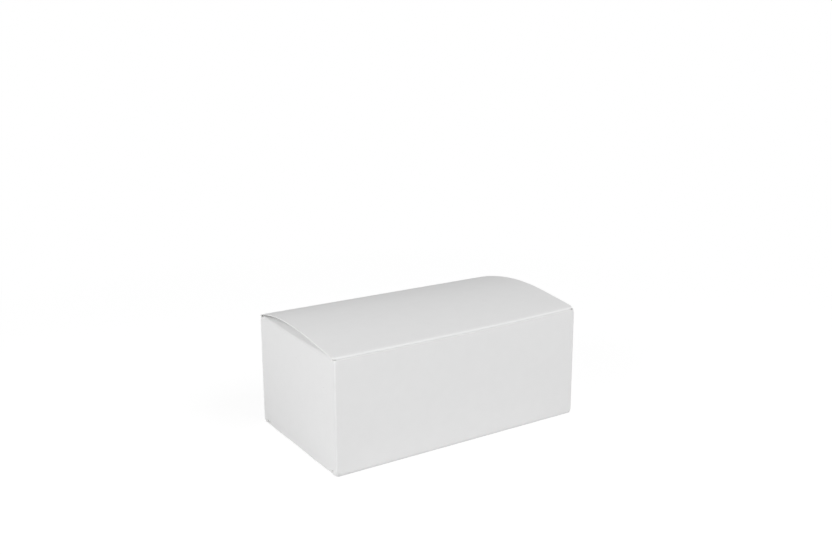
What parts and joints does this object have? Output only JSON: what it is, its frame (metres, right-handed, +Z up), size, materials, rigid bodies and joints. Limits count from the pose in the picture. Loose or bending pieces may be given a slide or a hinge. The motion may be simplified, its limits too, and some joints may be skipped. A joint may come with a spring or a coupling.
{
  "type": "fried chicken box",
  "caption": "Plain white paperboard food carton with a bowed tuck-in lid, folding dust flaps and a crash-lock base.",
  "frame": {"origin": "middle of the underside, on the plane that the box stands on", "axes": "+X along the length, to the right when the box is seen from its front; +Y from the front panel to the hinge side; +Z up"},
  "size_m": [0.184, 0.102, 0.0812],
  "materials": {
    "coated_board": "smooth matte clay-coated white",
    "inner_board": "uncoated white"
  },
  "bodies": {
    "carton": {"front_panel": "coated_board", "back_panel": "coated_board", "left_end_panel": "coated_board", "right_end_panel": "coated_board", "seam_glue_flap": "inner_board", "front_base_flap": "coated_board", "back_base_flap": "coated_board", "front_glue_ear": "inner_board", "back_glue_ear": "inner_board", "left_base_flap": "inner_board", "right_base_flap": "inner_board"},
    "lid": {"lid_panel": "coated_board"},
    "tuck": {"tuck_flap": "coated_board"},
    "left_dust": {"left_dust_flap": "coated_board"},
    "right_dust": {"right_dust_flap": "coated_board"}
  },
  "joints": [
    {"name": "lid_hinge", "type": "hinge", "parent": "carton", "child": "lid", "pos_m": [0, 0.051, 0.075], "axis": [-1, 0, 0], "range_deg": [0, 175]},
    {"name": "tuck_flap_hinge", "type": "hinge", "parent": "lid", "child": "tuck", "pos_m": [0, -0.0502, 0.075], "axis": [-1, 0, 0], "range_deg": [0, 87.5]},
    {"name": "left_dust_flap_hinge", "type": "hinge", "parent": "carton", "child": "left_dust", "pos_m": [-0.092, 0, 0.0745], "axis": [0, -1, 0], "range_deg": [0, 87.5]},
    {"name": "right_dust_flap_hinge", "type": "hinge", "parent": "carton", "child": "right_dust", "pos_m": [0.092, 0, 0.0745], "axis": [0, 1, 0], "range_deg": [0, 87.5]}
  ],
  "couplings": [
    {"joint": "tuck_flap_hinge", "follows": "lid_hinge", "ratio": 0.5},
    {"joint": "left_dust_flap_hinge", "follows": "lid_hinge", "ratio": 0.5},
    {"joint": "right_dust_flap_hinge", "follows": "lid_hinge", "ratio": 0.5}
  ]
}
